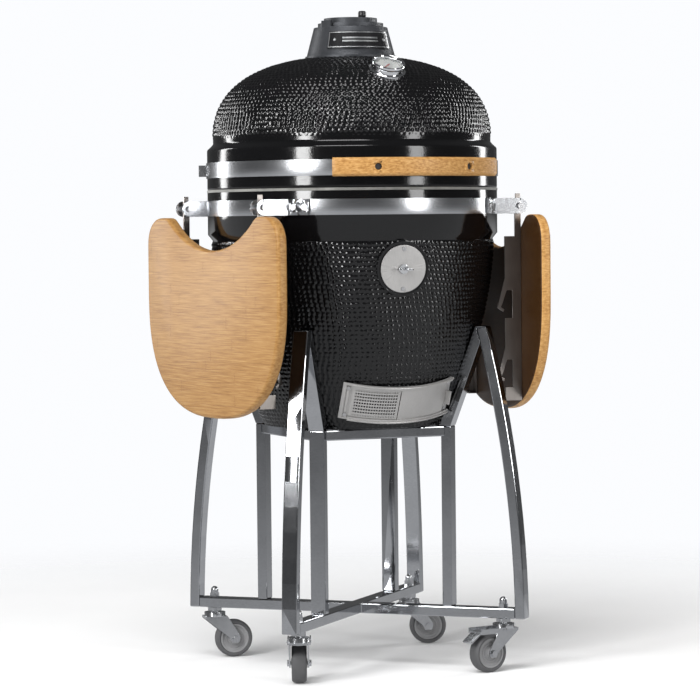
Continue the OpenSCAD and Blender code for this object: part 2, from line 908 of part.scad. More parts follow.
module ring_bars() {
    middle = (post_in_r + tube_d / 2) / sqrt(2);
    color("#c9cbce")
    for (angle = [0 : 90 : 270])
        at_angle(angle)
            translate([0, 0, ring_z - tube_d])
                linear_extrude(height = tube_d)
                    difference() {
                        intersection() {
                            translate([middle - tube_d / 2, -middle]) square([tube_d, 2 * middle]);
                            polygon([[0, 0], [2 * middle, -2 * middle + 1], [2 * middle, 2 * middle - 1]]);
                        }
                        for (end = [-45, 45])
                            rotate(end) translate([post_in_r - touch, -tube_w / 2 - touch])
                                square([2 * tube_d, tube_w + 2 * touch]);
                    }
}

module base_bars() {
    color("#c9cbce")
    difference() {
        for (angle = [45, 135])
            at_angle(angle)
                translate([-base_reach, -tube_w / 2, base_low_z])
                    cube([2 * base_reach, tube_w, tube_d]);
        caster_holes();
    }
}

module at_caster(i) {
    translate([caster_at * cos(caster_corner[i]), caster_at * sin(caster_corner[i]), 0])
        rotate([0, 0, caster_turn[i]])
            children();
}

module caster_holes() {
    for (i = [0 : 3])
        at_caster(i) translate([0, 0, base_low_z - 1]) cylinder(r = 6.2, h = tube_d + 2);
}

module caster_stems() {
    color("#b9bbbd")
    for (i = [0 : 3])
        at_caster(i) {
            translate([0, 0, 76.5]) cylinder(r = 10, h = crown_low_z - 76.5 - gap);
            translate([0, 0, 78]) cylinder(r = stem_r, h = base_top_z + 4 - 78);
            translate([0, 0, 95]) cylinder(r = 14, h = base_low_z - 95 - touch);
            translate([0, 0, base_top_z + touch]) cylinder(r = 9.5, h = 8, $fn = 6);
            translate([0, 0, base_top_z + 8]) cylinder(r = 7.5, h = 6);
            translate([0, 0, base_top_z + 14]) sphere(r = 7.5, $fn = 32);
        }
}

// Fork with its axle; the wheel trails along +X
module fork_side() {
    rotate([90, 0, 0])
        linear_extrude(height = fork_t)
            polygon([[-22, crown_low_z], [-22, crown_low_z + 5], [22, crown_low_z + 5], [trail + 10, wheel_r + 4],
                [trail + 7, wheel_r - 8], [trail - 7, wheel_r - 8], [trail - 12, wheel_r + 2]]);
}

module fork(braked) {
    color("#c9cbce") {
        difference() {
            union() {
                translate([0, fork_half, 0]) fork_side();
                translate([0, -fork_half + fork_t, 0]) fork_side();
                translate([-22, -fork_half, crown_low_z]) cube([44, 2 * fork_half, crown_top - crown_low_z]);
                translate([0, 0, crown_top - 1]) cylinder(r = 21, h = 9);
            }
            translate([0, 0, 70]) cylinder(r = stem_r + slip, h = 40);
            translate([trail, 0, wheel_r]) rotate([90, 0, 0]) cylinder(r = axle_r, h = 60, center = true);
        }
        translate([trail, 0, wheel_r]) rotate([90, 0, 0]) {
            cylinder(r = axle_r, h = 2 * fork_half, center = true);
            for (side = [-1, 1])
                translate([0, 0, side * (fork_half + 2)]) cylinder(r = 6.5, h = 4, center = true, $fn = 6);
        }
        if (braked)
            for (side = [-1, 1])
                translate([brake_pin_x, side * (fork_half + 2), brake_pin_z]) rotate([90, 0, 0])
                    cylinder(r = brake_pin_r, h = 5, center = true);
    }
}

module wheel_core() {
    color("#9a9a9c")
    translate([trail, 0, wheel_r]) rotate([90, 0, 0])
        difference() {
            union() {
                cylinder(r = 29, h = 16, center = true);
                cylinder(r = 10, h = 2 * (fork_half - fork_t - 1), center = true);
                difference() {
                    cylinder(r = 29, h = tyre_w - 4, center = true);
                    cylinder(r = 25, h = tyre_w, center = true);
                }
            }
            cylinder(r = axle_r + slip, h = 60, center = true);
        }
}

module tyre() {
    half = tyre_w / 2;
    color("#5a5a5c")
    translate([trail, 0, wheel_r]) rotate([90, 0, 0])
        rotate_extrude()
            polygon([[29, -half + 2], [31, -half], [wheel_r - 4, -half], [wheel_r - 1, -half + 4],
                [wheel_r, -half + 8], [wheel_r, half - 8], [wheel_r - 1, half - 4],
                [wheel_r - 4, half], [31, half], [29, half - 2]]);
}

// Brake lever: two cheeks on pins of the fork, a bar over the wheel and a ribbed pedal
brake_x = trail + 26;
brake_z = 76;
brake_pin_x = 14;
brake_pin_z = 81.5;
brake_pin_r = 2.5;
module brake() {
    color("#c4c6c8")
    difference() {
        union() {
            translate([brake_x - 8, -fork_half - 3, brake_z]) cube([12, 2 * fork_half + 6, 4]);
            for (side = [-1, 1])
                translate([brake_pin_x - 6, side * (fork_half + 2) - 1.2, brake_z]) cube([brake_x - 4, 2.4, 10]);
            translate([brake_x, 0, brake_z]) rotate([0, 38, 0]) {
                translate([-2, -14, 0]) cube([30, 28, 4]);
                for (i = [0 : 4])
                    translate([8 + i * 4, -12, 3]) cube([2, 24, 2.5]);
            }
        }
        translate([brake_pin_x, 0, brake_pin_z]) rotate([90, 0, 0])
            cylinder(r = brake_pin_r + slip, h = 60, center = true);
    }
}

bowl();
dome();
rim_gasket();
lower_band();
upper_band();
chimney();
chimney_disc();
disc_knob();
chimney_badge();
thermometer_case();
thermometer_dial();
thermometer_needle();
thermometer_glass();
handle_bar();
handle_standoffs();
handle_screws();
port_cover();
port_knob();
port_screws();
draft_frame();
draft_mesh();
draft_slider();
draft_screws();
left_brackets();
right_brackets();
bracket_bolts();
left_pivots();
right_pivots();
left_board();
right_board();
left_rails();
right_rails();
fire_box();
fire_ring();
charcoal_grate();
cooking_grate();
hinge_bracket();
hinge_arms();
hinge_pin();
hinge_springs();
outer_bars();
cradle_bars();
posts();
ring_bars();
base_bars();
caster_stems();
for (i = [0 : 3]) {
    at_caster(i) fork(i < 2);
    at_caster(i) wheel_core();
    at_caster(i) tyre();
    if (i < 2)
        at_caster(i) brake();
}
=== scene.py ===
import json
import math

import bmesh
import bpy
import numpy as np
from mathutils import Matrix, Vector
from mathutils.kdtree import KDTree


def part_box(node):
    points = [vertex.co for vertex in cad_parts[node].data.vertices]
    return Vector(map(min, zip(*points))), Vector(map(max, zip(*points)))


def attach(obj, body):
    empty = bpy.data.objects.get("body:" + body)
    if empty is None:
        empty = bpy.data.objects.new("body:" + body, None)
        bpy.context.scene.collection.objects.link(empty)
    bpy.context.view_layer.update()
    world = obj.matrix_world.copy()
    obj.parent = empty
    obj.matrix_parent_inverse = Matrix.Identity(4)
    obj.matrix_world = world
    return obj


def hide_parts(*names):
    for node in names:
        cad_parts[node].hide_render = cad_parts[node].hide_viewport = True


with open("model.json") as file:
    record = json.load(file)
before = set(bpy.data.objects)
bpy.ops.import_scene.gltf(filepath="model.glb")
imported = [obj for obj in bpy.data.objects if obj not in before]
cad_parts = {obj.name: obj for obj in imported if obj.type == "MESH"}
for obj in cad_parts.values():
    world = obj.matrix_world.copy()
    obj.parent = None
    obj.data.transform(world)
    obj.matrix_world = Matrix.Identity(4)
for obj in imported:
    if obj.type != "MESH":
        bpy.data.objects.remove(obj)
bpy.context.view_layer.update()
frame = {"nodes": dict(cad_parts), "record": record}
NODES = frame["nodes"]
MM = 0.001

# Sizes of the ceramic body, in metres
RIM_R = 0.284
BELLY_R, BELLY_Z, BELLY_DEPTH, BELLY_POWER = 0.275, 0.838, 0.520, 1.7
CROWN_R, CROWN_Z, CROWN_RISE, CROWN_POWER = 0.272, 1.0263, 0.168, 2.5
DOME_LOW, SHOULDER = 0.9363, 1.0143
WALL, NECK_R, FOOT_R = 0.024, 0.060, 0.088
CROWN_TOP = CROWN_Z + CROWN_RISE * (1 - (FOOT_R / CROWN_R) ** CROWN_POWER) ** (1 / CROWN_POWER)
PEBBLE_STEP, PEBBLE_R, PEBBLE_RISE = 0.0100, 0.0044, 0.0021
GRID_STEP, GRID_TURN = 0.0019, 900
CHIMNEY_RISE, CHIMNEY_LEAN = 0.061, 0.016
HINGE_Y, HINGE_Z = 0.310, 0.938
KNOB_AT = 0.025

# The leaning frame of the draft door
DRAFT_TILT = math.radians(24)
DRAFT_R = 0.216
DRAFT = (Matrix.Translation((0, -0.206, 0.523)) @ Matrix.Rotation(DRAFT_TILT, 4, "X")
         @ Matrix.Translation((0, DRAFT_R, 0)))
BODY_TURN = Matrix.Rotation(math.radians(-4), 4, "Z")
PORT_AT = BODY_TURN @ Vector((0, -0.27141, 0.783))
PORT_NORMAL = BODY_TURN @ Vector((0, -0.99397, -0.10964))
PORT_CLEAR = 0.0505
DIAL_Z, DIAL_LEAN = 1.157, math.radians(29)
BADGE_TURN = math.radians(-10)

CORNERS = {"fl": (225, 66), "fr": (315, 190), "bl": (135, 352), "br": (45, 340)}
CASTER_AT, TRAIL, WHEEL_R = 0.305, 0.038, 0.0375
SHELF_TURN = math.radians(7.5)


# ---------------------------------------------------------------- materials
class Shader:
    """One procedural material and short names for the nodes that it needs."""

    def __init__(self, name, **values):
        self.mat = bpy.data.materials.new(name)
        self.mat.use_nodes = True
        self.tree = self.mat.node_tree
        self.out = self.tree.nodes["Principled BSDF"]
        for socket, value in values.items():
            self.out.inputs[socket.replace("_", " ")].default_value = value

    def node(self, kind, **props):
        made = self.tree.nodes.new(kind)
        for name, value in props.items():
            setattr(made, name, value)
        return made

    def put(self, socket, value):
        if isinstance(value, bpy.types.NodeSocket):
            self.tree.links.new(value, socket)
        else:
            socket.default_value = value
        return socket

    def coords(self, turn=0.0, scale=(1, 1, 1)):
        made = self.node("ShaderNodeMapping")
        self.put(made.inputs["Vector"], self.node("ShaderNodeTexCoord").outputs["Object"])
        made.inputs["Rotation"].default_value = (0, 0, turn)
        made.inputs["Scale"].default_value = scale
        return made.outputs[0]

    def noise(self, vector, scale, detail=4, rough=0.55):
        made = self.node("ShaderNodeTexNoise")
        self.put(made.inputs["Vector"], vector)
        for name, value in (("Scale", scale), ("Detail", detail), ("Roughness", rough), ("Distortion", 0.0)):
            made.inputs[name].default_value = value
        return made.outputs["Fac"]

    def cells(self, vector, scale, feature="F1"):
        made = self.node("ShaderNodeTexVoronoi", feature=feature)
        self.put(made.inputs["Vector"], vector)
        made.inputs["Scale"].default_value = scale
        return made.outputs["Distance"]

    def math(self, how, a, b=0.0, c=0.0):
        made = self.node("ShaderNodeMath", operation=how)
        for socket, value in zip(made.inputs, (a, b, c)):
            self.put(socket, value)
        return made.outputs[0]

    def split(self, vector):
        made = self.node("ShaderNodeSeparateXYZ")
        self.put(made.inputs[0], vector)
        return made.outputs

    def join(self, x, y, z):
        made = self.node("ShaderNodeCombineXYZ")
        for socket, value in zip(made.inputs, (x, y, z)):
            self.put(socket, value)
        return made.outputs[0]

    def ramp(self, value, *stops):
        made = self.node("ShaderNodeValToRGB")
        self.put(made.inputs[0], value)
        line = made.color_ramp.elements
        while len(line) < len(stops):
            line.new(0.5)
        for element, (place, colour) in zip(line, stops):
            element.position = place
            element.color = (*colour, 1) if hasattr(colour, "__len__") else (colour, colour, colour, 1)
        return made.outputs[0]

    def range(self, value, low, high, from_low=0.0, from_high=1.0):
        made = self.node("ShaderNodeMapRange")
        for name, v in (("Value", value), ("From Min", from_low), ("From Max", from_high),
                        ("To Min", low), ("To Max", high)):
            self.put(made.inputs[name], v)
        return made.outputs[0]

    def mix(self, share, a, b):
        made = self.node("ShaderNodeMix", data_type="RGBA", blend_type="MIX")
        for name, v in (("Factor", share), ("A", a), ("B", b)):
            socket = [s for s in made.inputs if s.name == name and s.enabled][0]
            self.put(socket, (*v, 1) if isinstance(v, tuple) else v)
        return [s for s in made.outputs if s.enabled][0]

    def bump(self, height, strength, distance, after=None):
        made = self.node("ShaderNodeBump")
        self.put(made.inputs["Height"], height)
        made.inputs["Strength"].default_value = strength
        made.inputs["Distance"].default_value = distance
        if after is not None:
            self.put(made.inputs["Normal"], after)
        return made.outputs[0]

    def set(self, **sockets):
        for name, value in sockets.items():
            self.put(self.out.inputs[name.replace("_", " ")], value)
        return self.mat


def glaze(name, pebbled):
    """Fired black glaze under a thin clear coat, a little duller over the pebbles."""
    s = Shader(name, Coat_Weight=0.15, Coat_Roughness=0.05, Specular_IOR_Level=0.42)
    p = s.coords()
    speck = s.noise(p, 900, 3)
    wave = s.noise(p, 9, 3, 0.5)
    colour = s.ramp(speck, (0.3, (0.0015, 0.0015, 0.0018)), (0.7, (0.005, 0.005, 0.0055)))
    rough = s.range(s.noise(p, 60, 5), 0.08, 0.17 if pebbled else 0.12)
    normal = s.bump(wave, 0.35, 0.004)
    normal = s.bump(s.cells(p, 420, "SMOOTH_F1") if pebbled else s.noise(p, 260, 2), 0.1, 0.0006, normal)
    return s.set(Base_Color=colour, Roughness=rough, Normal=normal)


def steel(name, colour, rough, brush=(1, 1, 1), depth=0.0001, blotch=0.06, metal=1.0):
    """Bare metal: smudges change how sharp it reflects, and fine lines run along the brushing."""
    s = Shader(name, Metallic=metal)
    p = s.coords()
    lines = s.noise(s.coords(0, brush), 260, 5, 0.65)
    smudge = s.noise(p, 16, 5, 0.6)
    dark = tuple(c * 0.8 for c in colour)
    tone = s.ramp(s.mix(0.5, lines, smudge), (0.3, dark), (0.7, colour))
    value = s.math("MULTIPLY_ADD", smudge, blotch, s.math("MULTIPLY_ADD", lines, blotch * 0.6, rough - blotch * 0.5))
    return s.set(Base_Color=tone, Roughness=value, Normal=s.bump(lines, 0.25, depth))


STRIP, NODE_SPAN = 0.021, 0.30


def bamboo(name, turn=0.0, along_arc=False, tone=1.0):
    """Laminated strips with fine fibres along them and a darker knuckle across each one at its own place."""
    s = Shader(name, Coat_Weight=0.03, Coat_Roughness=0.25, Specular_IOR_Level=0.22)
    p = s.coords(turn)
    x, y, z = s.split(p)
    along = s.math("MULTIPLY", s.math("ARCTAN2", x, s.math("MULTIPLY", y, -1.0)), 0.311) if along_arc else y
    row = s.math("FLOOR", s.math("DIVIDE", z, STRIP))
    shift = s.node("ShaderNodeTexWhiteNoise", noise_dimensions="1D")
    s.put(shift.inputs["W"], row)
    offset = shift.outputs["Value"]
    place = s.math("FRACT", s.math("ADD", s.math("DIVIDE", along, NODE_SPAN), s.math("MULTIPLY", offset, 7.3)))
    far = s.math("ABSOLUTE", s.math("SUBTRACT", place, 0.5))
    knuckle = s.range(far, 1.0, 0.0, 0.0, 0.010)
    glow = s.range(far, 1.0, 0.0, 0.0, 0.055)
    edge = s.range(s.math("ABSOLUTE", s.math("SUBTRACT", s.math("FRACT", s.math("DIVIDE", z, STRIP)), 0.5)),
                   0.0, 1.0, 0.47, 0.5)
    fibre = s.noise(s.join(s.math("MULTIPLY", along, 4), s.math("MULTIPLY", x, 40),
                           s.math("MULTIPLY", z, 110)), 3.2, 6, 0.66)
    broad = s.noise(s.join(s.math("MULTIPLY", along, 2.5), offset, s.math("MULTIPLY", z, 60)), 2.0, 3)
    speck = s.noise(s.join(s.math("MULTIPLY", along, 60), x, s.math("MULTIPLY", z, 260)), 3.0, 3)
    fleck = s.range(speck, 0.0, 1.0, 0.52, 0.7)
    wood = s.ramp(fibre, (0.34, (0.30, 0.135, 0.036)), (0.5, (0.56, 0.30, 0.096)), (0.68, (0.78, 0.49, 0.20)))
    wood = s.mix(s.range(offset, 0.0, 0.35), wood, (0.76, 0.45, 0.165))
    wood = s.mix(s.range(broad, 0.0, 0.45), wood, (0.42, 0.20, 0.056))
    wood = s.mix(s.math("MULTIPLY", s.math("MULTIPLY", glow, fleck), 0.75), wood, (0.26, 0.10, 0.025))
    wood = s.mix(s.math("MULTIPLY", knuckle, 0.16), wood, (0.22, 0.08, 0.02))
    wood = s.mix(s.math("MULTIPLY", edge, 0.2), wood, (0.25, 0.10, 0.028))
    # tone blends the whole wood towards near black; the two shelf boards use it as painted shade
    wood = s.mix(1.0 - tone, wood, (0.02, 0.006, 0.001))
    rough = s.range(fibre, 0.30, 0.48)
    normal = s.bump(s.math("SUBTRACT", fibre, s.math("MULTIPLY", edge, 0.5)), 0.35, 0.0004)
    return s.set(Base_Color=wood, Roughness=rough, Normal=normal)


def grainy(name, low, high, rough, grain, depth, **values):
    """Moulded, cast, woven or painted stuff: two tones by a soft noise and a fine grain in the surface."""
    s = Shader(name, **values)
    p = s.coords()
    soft = s.noise(p, 22, 5, 0.6)
    fine = s.noise(p, grain, 4, 0.7)
    tone = s.ramp(s.mix(0.4, soft, fine), (0.3, low), (0.7, high))
    return s.set(Base_Color=tone, Roughness=s.range(fine, rough - 0.07, rough + 0.09),
                 Normal=s.bump(fine, 0.45, depth))


def felt(name):
    """Grey woven felt with a soft sheen."""
    s = Shader(name, Sheen_Weight=0.3, Roughness=0.95)
    p = s.coords()
    weave = s.noise(s.coords(0, (1, 1, 2.4)), 700, 3)
    tone = s.ramp(s.mix(0.5, weave, s.noise(p, 40, 4)), (0.3, (0.10, 0.10, 0.095)), (0.7, (0.30, 0.30, 0.28)))
    return s.set(Base_Color=tone, Normal=s.bump(weave, 0.8, 0.0006))


def clear_glass(name):
    """The thermometer's glass, with a trace of dust."""
    s = Shader(name, Transmission_Weight=1.0, IOR=1.46)
    dust = s.noise(s.coords(), 70, 5)
    return s.set(Base_Color=s.ramp(dust, (0.2, (0.94, 0.96, 0.97)), (0.8, (1, 1, 1))),
                 Roughness=s.range(dust, 0.0, 0.06))


SLOTS = {
    "glaze": glaze("black_glaze_smooth", False),
    "felt": felt("woven_felt"),
    "brushed_band": steel("brushed_band", (0.56, 0.57, 0.59), 0.22, (0.05, 0.05, 3.2), 0.00012),
    "cast_iron": grainy("cast_iron", (0.030, 0.032, 0.036), (0.070, 0.074, 0.082), 0.42, 520, 0.0007, Metallic=0.55),
    "black_knob": grainy("black_knob", (0.012, 0.012, 0.013), (0.028, 0.028, 0.03), 0.33, 700, 0.0002),
    "badge": grainy("badge_enamel", (0.006, 0.006, 0.007), (0.014, 0.014, 0.015), 0.2, 500, 0.0001, Coat_Weight=0.4),
    "chrome": steel("polished_chrome", (0.80, 0.81, 0.83), 0.07, blotch=0.05, depth=0.00002),
    "dial": grainy("dial_white", (0.72, 0.72, 0.70), (0.82, 0.82, 0.80), 0.5, 400, 0.00004),
    "needle": grainy("needle_red", (0.42, 0.02, 0.015), (0.55, 0.04, 0.03), 0.35, 400, 0.00004),
    "clear_glass": clear_glass("clear_glass"),
    "dark_steel": steel("dark_steel", (0.16, 0.16, 0.165), 0.34),
    "satin_steel": steel("satin_steel", (0.50, 0.49, 0.48), 0.34, (2.2, 2.2, 0.2), 0.0001, metal=0.6),
    "screw_steel": steel("screw_steel", (0.60, 0.60, 0.61), 0.24),
    "bright_steel": steel("bright_zinc", (0.66, 0.67, 0.69), 0.2, (1, 1, 0.4), 0.0001, 0.12),
    "fire_clay": grainy("fire_clay", (0.26, 0.18, 0.13), (0.42, 0.31, 0.23), 0.85, 260, 0.0009),
    "mirror_steel": steel("mirror_stainless", (0.50, 0.51, 0.53), 0.08, (0.6, 0.6, 1.6), 0.00002, 0.07),
    "hub_plastic": grainy("hub_plastic", (0.20, 0.20, 0.205), (0.27, 0.27, 0.275), 0.48, 600, 0.0002),
    "tyre_rubber": grainy("tyre_rubber", (0.060, 0.060, 0.063), (0.095, 0.095, 0.098), 0.62, 700, 0.0003),
    "bamboo": bamboo("bamboo_handle", along_arc=True, tone=0.8),
}
PEBBLED = glaze("black_glaze_pebbled", True)
RAIL = steel("warm_satin_steel", (0.40, 0.365, 0.34), 0.3, (1.5, 1.5, 0.15), 0.00012, 0.1)
SILVER = steel("badge_silver", (0.62, 0.63, 0.64), 0.3, (3, 3, 0.3))
INK = grainy("dial_ink", (0.02, 0.02, 0.02), (0.05, 0.05, 0.05), 0.5, 500, 0.00003)
# Near-black copy of the bamboo for the board faces turned to the grill's body: painted shade where the body shadows
# them
INNER_PAINTED_SHADE = bamboo("bamboo_inner_painted_shade", tone=0.04)
# The two boards are one bamboo, darkened by different tones as painted shade: more on the left than on the right
BOARDS = {"left": bamboo("bamboo_left_painted_shade", -SHELF_TURN, tone=0.60),
          "right": bamboo("bamboo_right_painted_shade", SHELF_TURN, tone=0.85)}


# ---------------------------------------------------------------- meshes
def piece(name, verts, faces, mat, body, slot, smooth=True, replaces=()):
    mesh = bpy.data.meshes.new(name)
    mesh.from_pydata([tuple(v) for v in verts], [], faces)
    mesh.validate()
    mesh.update()
    mesh.materials.append(mat)
    if smooth:
        mesh.shade_smooth()
        mesh.set_sharp_from_angle(angle=math.radians(38))
    made = bpy.data.objects.new(name, mesh)
    bpy.context.scene.collection.objects.link(made)
    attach(made, body)
    if replaces:
        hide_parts(*replaces)
    return made


def spun(profile, steps, matrix=Matrix.Identity(4), start=0.0, turn=2 * math.pi):
    """A closed outline of (radius, height) points turned about the local Z axis: a ring, or a capped arc."""
    whole = turn >= 2 * math.pi - 1e-6
    columns = steps if whole else steps + 1
    angles = [start + turn * j / steps for j in range(columns)]
    verts = [matrix @ Vector((r * math.cos(a), r * math.sin(a), h)) for a in angles for r, h in profile]
    n = len(profile)
    faces = []
    for j in range(steps):
        a, b = j * n, ((j + 1) % columns) * n
        faces += [(a + i, b + i, b + (i + 1) % n, a + (i + 1) % n) for i in range(n)]
    if not whole:
        faces += [tuple(range(n)), tuple(range((columns - 1) * n, columns * n))[::-1]]
    return verts, faces


def joined(*parts):
    """Several (verts, faces) as one."""
    verts, faces = [], []
    for v, f in parts:
        start = len(verts)
        verts += v
        faces += [tuple(i + start for i in face) for face in f]
    return verts, faces


def disc_outline(r, at, tube, steps=10):
    """A round outline of a tube whose middle is at radius r and height at."""
    return [(r + tube * math.cos(2 * math.pi * i / steps), at - tube * math.sin(2 * math.pi * i / steps))
            for i in range(steps)]


def tube(path, radius, sides=8):
    """A round wire along a list of points, with flat ends."""
    path = [Vector(p) for p in path]
    verts, faces = [], []
    up = Vector((0, 0, 1))
    for i, p in enumerate(path):
        ahead = (path[min(i + 1, len(path) - 1)] - path[max(i - 1, 0)]).normalized()
        side = ahead.cross(up if abs(ahead.dot(up)) < 0.95 else Vector((1, 0, 0))).normalized()
        over = side.cross(ahead)
        verts += [p + radius * (math.cos(2 * math.pi * k / sides) * side + math.sin(2 * math.pi * k / sides) * over)
                  for k in range(sides)]
    for i in range(len(path) - 1):
        a, b = i * sides, (i + 1) * sides
        faces += [(a + k, a + (k + 1) % sides, b + (k + 1) % sides, b + k) for k in range(sides)]
    faces += [tuple(range(sides))[::-1], tuple(range(len(verts) - sides, len(verts)))]
    return verts, faces


def box(lo, hi, matrix=Matrix.Identity(4)):
    corners = [matrix @ Vector((x, y, z)) for x in (lo[0], hi[0]) for y in (lo[1], hi[1]) for z in (lo[2], hi[2])]
    return corners, [(0, 1, 3, 2), (4, 6, 7, 5), (0, 4, 5, 1), (2, 3, 7, 6), (0, 2, 6, 4), (1, 5, 7, 3)]


# ---------------------------------------------------------------- pebbled ceramic
def crown(z):
    return CROWN_R * (1 - min(1, max(0, (z - CROWN_Z) / CROWN_RISE)) ** CROWN_POWER) ** (1 / CROWN_POWER)


def belly(z):
    return BELLY_R * (1 - min(1, max(0, (BELLY_Z - z) / BELLY_DEPTH)) ** BELLY_POWER) ** (1 / BELLY_POWER)


def even(points, step):
    """Points along a polyline at an even distance."""
    points = np.array(points, float)
    run = np.concatenate([[0], np.cumsum(np.linalg.norm(np.diff(points, axis=0), axis=1))])
    at = np.linspace(0, run[-1], max(2, int(round(run[-1] / step)) + 1))
    return np.stack([np.interp(at, run, points[:, k]) for k in range(2)], axis=1)


def pebble_centres(profile, seed):
    """Jittered rows of pebble centres on the surface that a profile sweeps, each with its own size."""
    rng = np.random.default_rng(seed)
    found = []
    for row, (r, z) in enumerate(even(profile, PEBBLE_STEP * 0.88)):
        count = int(2 * math.pi * r / PEBBLE_STEP)
        turn = math.pi * (row % 2) / count
        for k in range(count):
            a = turn + 2 * math.pi * (k + rng.uniform(-0.13, 0.13)) / count
            found.append((r * math.cos(a), r * math.sin(a), z + rng.uniform(-0.0008, 0.0008), rng.uniform(0.85, 1.1)))
    return found


def raised(verts, normals, weights, centres):
    """Lifts each point by the round pebble nearest to it."""
    tree = KDTree(len(centres))
    for i, c in enumerate(centres):
        tree.insert(c[:3], i)
    tree.balance()
    moved = []
    for v, n, w in zip(verts, normals, weights):
        if w > 0:
            _, i, d = tree.find(v)
            share = max(0.0, 1 - (d / (PEBBLE_R * centres[i][3])) ** 2)
            v = v + n * (w * PEBBLE_RISE * centres[i][3] * share ** 0.9)
        moved.append(v)
    return moved


def swept(profile, weights, centres, keep=None, closed=False):
    """Turns a dense profile about Z and raises the pebbles. keep says which points stay."""
    profile = np.array(profile, float)
    slope = np.gradient(profile, axis=0)
    slope /= np.linalg.norm(slope, axis=1)[:, None] + 1e-12
    rows = len(profile)
    verts, normals, lift = [], [], []
    for i in range(rows):
        for j in range(GRID_TURN):
            a = 2 * math.pi * j / GRID_TURN
            verts.append(Vector((profile[i][0] * math.cos(a), profile[i][0] * math.sin(a), profile[i][1])))
            normals.append(Vector((slope[i][1] * math.cos(a), slope[i][1] * math.sin(a), -slope[i][0])))
            lift.append(weights[i])
    verts = raised(verts, normals, lift, centres)
    stays = [keep is None or keep(v) for v in verts]
    faces = []
    for i in range(rows if closed else rows - 1):
        a, b = i * GRID_TURN, ((i + 1) % rows) * GRID_TURN
        for j in range(GRID_TURN):
            k = (j + 1) % GRID_TURN
            face = (a + j, a + k, b + k, b + j)
            if all(stays[q] for q in face):
                faces.append(face)
    used = sorted({q for face in faces for q in face})
    index = {q: n for n, q in enumerate(used)}
    return [verts[q] for q in used], [tuple(index[q] for q in face) for face in faces]


def arc_points(centre, radius, from_angle, to_angle, steps=5):
    return [(centre[0] + radius * math.cos(math.radians(from_angle + (to_angle - from_angle) * i / steps)),
             centre[1] + radius * math.sin(math.radians(from_angle + (to_angle - from_angle) * i / steps)))
            for i in range(steps + 1)]


def build_dome():
    """The whole lid: rounded rim, smooth shoulder and pebbled crown outside, plain inside."""
    edge, pebbles_from, pebbles_full = 0.003, 1.034, 1.046
    rise = CROWN_TOP - CROWN_Z
    outer = [(crown(CROWN_Z + rise * math.sin(t)), CROWN_Z + rise * math.sin(t))
             for t in np.linspace(0, math.pi / 2, 90)]
    crown_rows = even(outer, GRID_STEP)
    rim = arc_points((RIM_R - edge, DOME_LOW + edge), edge, -90, 0)
    rim += [(RIM_R, z) for z in np.linspace(DOME_LOW + 2 * edge, SHOULDER - 0.006, 6)]
    rim += arc_points((RIM_R - 0.006, SHOULDER - 0.003), 0.006, 8, 42)
    rim += [(RIM_R - 0.0070, SHOULDER + 0.0060), (RIM_R - 0.0100, SHOULDER + 0.0090)]
    neck = [(NECK_R + 0.02, CROWN_TOP), (NECK_R, CROWN_TOP - 0.001)]
    rise_in = rise - WALL
    inner = [((CROWN_R - WALL) * (1 - min(1, (rise_in * math.sin(t)) / (CROWN_RISE - WALL)) ** CROWN_POWER)
              ** (1 / CROWN_POWER), CROWN_Z + rise_in * math.sin(t)) for t in np.linspace(math.pi / 2, 0, 20)]
    inner = [p for p in inner if p[0] > NECK_R + 0.001]
    inside = [(NECK_R, inner[0][1])] + inner + [(RIM_R - WALL, SHOULDER), (RIM_R - WALL, DOME_LOW)]
    profile = rim + [tuple(p) for p in crown_rows] + neck + inside
    weights = []
    for i, (r, z) in enumerate(profile):
        on_crown = len(rim) <= i < len(rim) + len(crown_rows)
        weights.append(max(0.0, min(1.0, (z - pebbles_from) / (pebbles_full - pebbles_from))) if on_crown else 0.0)
    verts, faces = swept(profile, weights, pebble_centres(crown_rows, 11), closed=True)
    piece("dome_shell", verts, faces, PEBBLED, "lid", "glaze", replaces=["dome"])


def build_bowl_skin():
    """The pebbled glaze of the bowl, left open under the draft door and the port's pad."""
    low, gap = 0.4765, 0.0005
    rows = even([(belly(z) + gap, z) for z in np.linspace(BELLY_Z - 0.001, low, 120)], GRID_STEP)
    rows[0][0] -= 0.003
    back = DRAFT.inverted()

    def keep(v):
        if (v - PORT_AT).dot(PORT_NORMAL) > -0.03:
            flat = (v - PORT_AT) - (v - PORT_AT).dot(PORT_NORMAL) * PORT_NORMAL
            if flat.length < PORT_CLEAR:
                return False
        q = back @ v
        angle = math.degrees(math.atan2(q.x, -q.y))
        return not (q.y < 0 and -28 < angle < 32 and abs(q.z) < 0.034)

    weights = [min(1.0, i / 4) for i in range(len(rows))]
    verts, faces = swept(rows[::-1], weights[::-1], pebble_centres(rows, 23), keep)
    piece("bowl_pebbles", verts, faces, PEBBLED, "root", "glaze")


